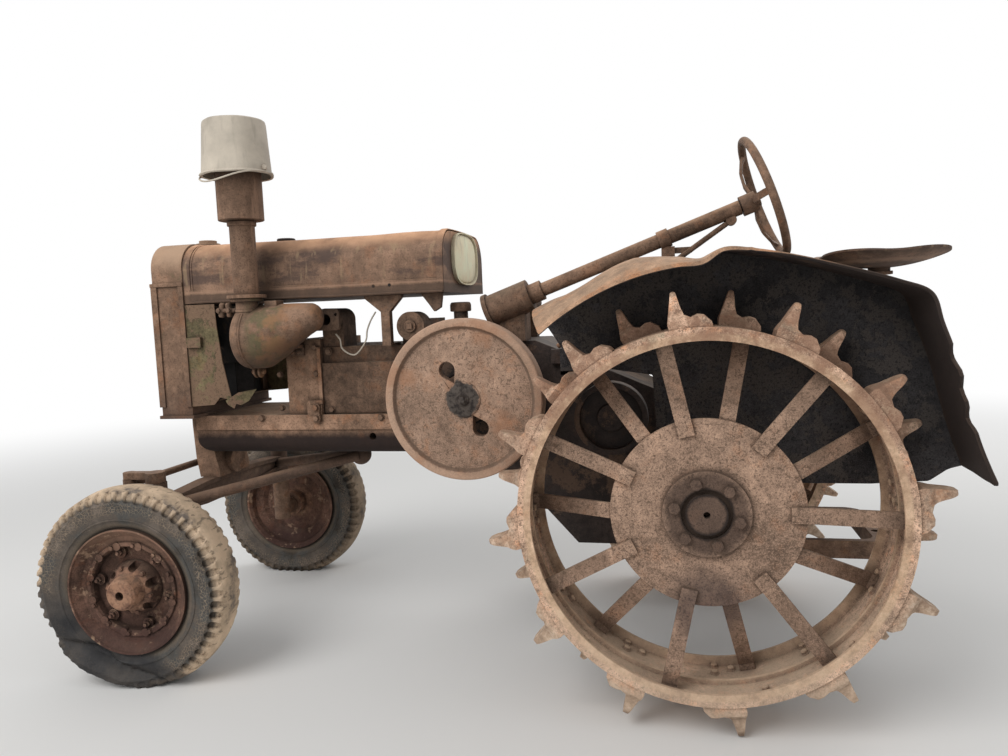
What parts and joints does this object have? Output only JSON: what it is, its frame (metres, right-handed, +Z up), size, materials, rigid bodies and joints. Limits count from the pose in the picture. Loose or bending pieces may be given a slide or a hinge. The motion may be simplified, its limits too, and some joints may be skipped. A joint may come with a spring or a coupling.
{
  "type": "vintage tractor",
  "caption": "Rusted standard-tread farm tractor on lugged steel rear wheels and soft front tyres, with turning wheels, flywheel, fan and working steering linkage.",
  "frame": {"origin": "on the ground, under the middle of the overall length and width", "axes": "+X to the rear, +Y to the tractor's right, +Z up"},
  "size_m": [3.119, 1.3826, 1.9495],
  "materials": {
    "cast": "rusty cast iron with greasy dirt",
    "case": "dark oily cast iron with rust",
    "sheet": "rusted sheet with faint remains of paint",
    "tank": "rusted sheet, brown, with worn edges",
    "pale_paint": "faded pale green-white paint, rusting at the edge",
    "bucket": "weathered pale grey bucket with rust on its lip",
    "green_rust": "rust over the last of a dull green paint",
    "core": "dusty dark radiator fins",
    "wheel_steel": "rusted steel with dried mud",
    "tyre": "old grey rubber, cracked, dusty on the tread",
    "front_rim": "red-brown rust",
    "flywheel": "rusted cast iron, greasy at the hub",
    "grip": "bare dark steel, worn"
  },
  "bodies": {
    "tractor": {"main_frame": "cast", "main_case": "case", "front_pedestal": "cast", "front_axle": "cast", "radiator_core": "core", "radiator_frame": "tank", "radiator_top_tank": "tank", "fan_shroud": "green_rust", "fuel_tank": "tank", "tank_end_panel": "pale_paint", "tank_caps": "tank", "tank_brackets": "cast", "air_stack": "sheet", "stack_bucket": "bucket", "air_cleaner": "green_rust", "cylinder_head": "cast", "engine_block": "cast", "manifold": "cast", "governor": "cast", "left_fender": "sheet", "right_fender": "sheet", "platform": "cast", "seat": "sheet", "seat_spring": "cast", "drawbar": "cast", "steering_box": "cast", "steering_column": "tank", "control_levers": "cast"},
    "crank": {"flywheel": "flywheel", "belt_pulley": "flywheel"},
    "fan": {"fan": "core"},
    "left_rear_wheel": {"left_rear_rim": "wheel_steel", "left_rear_spider": "wheel_steel"},
    "right_rear_wheel": {"right_rear_rim": "wheel_steel", "right_rear_spider": "wheel_steel"},
    "steering_wheel": {"steering_wheel": "grip"},
    "drop_arm": {"drop_arm": "cast"},
    "drag_link": {"drag_link": "cast"},
    "tie_rod": {"tie_rod": "cast"},
    "left_knuckle": {"left_knuckle": "cast"},
    "right_knuckle": {"right_knuckle": "cast"},
    "left_front_wheel": {"left_front_tyre": "tyre", "left_front_wheel": "front_rim"},
    "right_front_wheel": {"right_front_tyre": "tyre", "right_front_wheel": "front_rim"}
  },
  "joints": [
    {"name": "crank_spin", "type": "hinge", "parent": "tractor", "child": "crank", "pos_m": [-0.01091, 0, 0.96252], "axis": [0, 1, 0], "continuous": true},
    {"name": "fan_spin", "type": "hinge", "parent": "tractor", "child": "fan", "pos_m": [-1.07091, 0, 1.12252], "axis": [1, 0, 0], "continuous": true},
    {"name": "left_rear_spin", "type": "hinge", "parent": "tractor", "child": "left_rear_wheel", "pos_m": [0.75909, -0.563, 0.64253], "axis": [0, 1, 0], "continuous": true},
    {"name": "right_rear_spin", "type": "hinge", "parent": "tractor", "child": "right_rear_wheel", "pos_m": [0.75909, 0.563, 0.64253], "axis": [0, 1, 0], "continuous": true},
    {"name": "steering", "type": "hinge", "parent": "tractor", "child": "steering_wheel", "pos_m": [0.8958, -0.2, 1.55563], "axis": [0.9415, 0, 0.3371], "range_deg": [-502.5, 397.5]},
    {"name": "left_kingpin", "type": "hinge", "parent": "tractor", "child": "left_knuckle", "pos_m": [-1.19091, -0.44, 0.64253], "axis": [0, 0, 1], "range_deg": [-33.5, 26.5]},
    {"name": "right_kingpin", "type": "hinge", "parent": "tractor", "child": "right_knuckle", "pos_m": [-1.19091, 0.44, 0.64253], "axis": [0, 0, 1], "range_deg": [-33.5, 26.5]},
    {"name": "left_front_spin", "type": "hinge", "parent": "left_knuckle", "child": "left_front_wheel", "pos_m": [-1.18206, -0.58473, 0.34], "axis": [-0.061, 0.9981, 0], "continuous": true},
    {"name": "right_front_spin", "type": "hinge", "parent": "right_knuckle", "child": "right_front_wheel", "pos_m": [-1.19976, 0.58473, 0.34], "axis": [-0.061, 0.9981, 0], "continuous": true},
    {"name": "tie_rod_pin", "type": "hinge", "parent": "left_knuckle", "child": "tie_rod", "pos_m": [-1.29571, -0.44641, 0.68853], "axis": [0, 0, 1], "range_deg": [-26.5, 33.5]},
    {"name": "drop_arm_shaft", "type": "hinge", "parent": "tractor", "child": "drop_arm", "pos_m": [0.11909, 0.215, 1.27753], "axis": [0, 1, 0], "range_deg": [-24.24, 30.64]},
    {"name": "drag_link_pin", "type": "hinge", "parent": "right_knuckle", "child": "drag_link", "pos_m": [-1.18114, 0.2803, 0.68853], "axis": [0, 0, 1], "range_deg": [-26.5, 33.5]}
  ],
  "couplings": [
    {"joint": "fan_spin", "follows": "crank_spin", "ratio": 2.5},
    {"joint": "left_kingpin", "follows": "steering", "ratio": 0.066667},
    {"joint": "right_kingpin", "follows": "steering", "ratio": 0.066667},
    {"joint": "tie_rod_pin", "follows": "steering", "ratio": -0.066667},
    {"joint": "drag_link_pin", "follows": "steering", "ratio": -0.066667},
    {"joint": "drop_arm_shaft", "follows": "steering", "ratio": -0.060952}
  ]
}
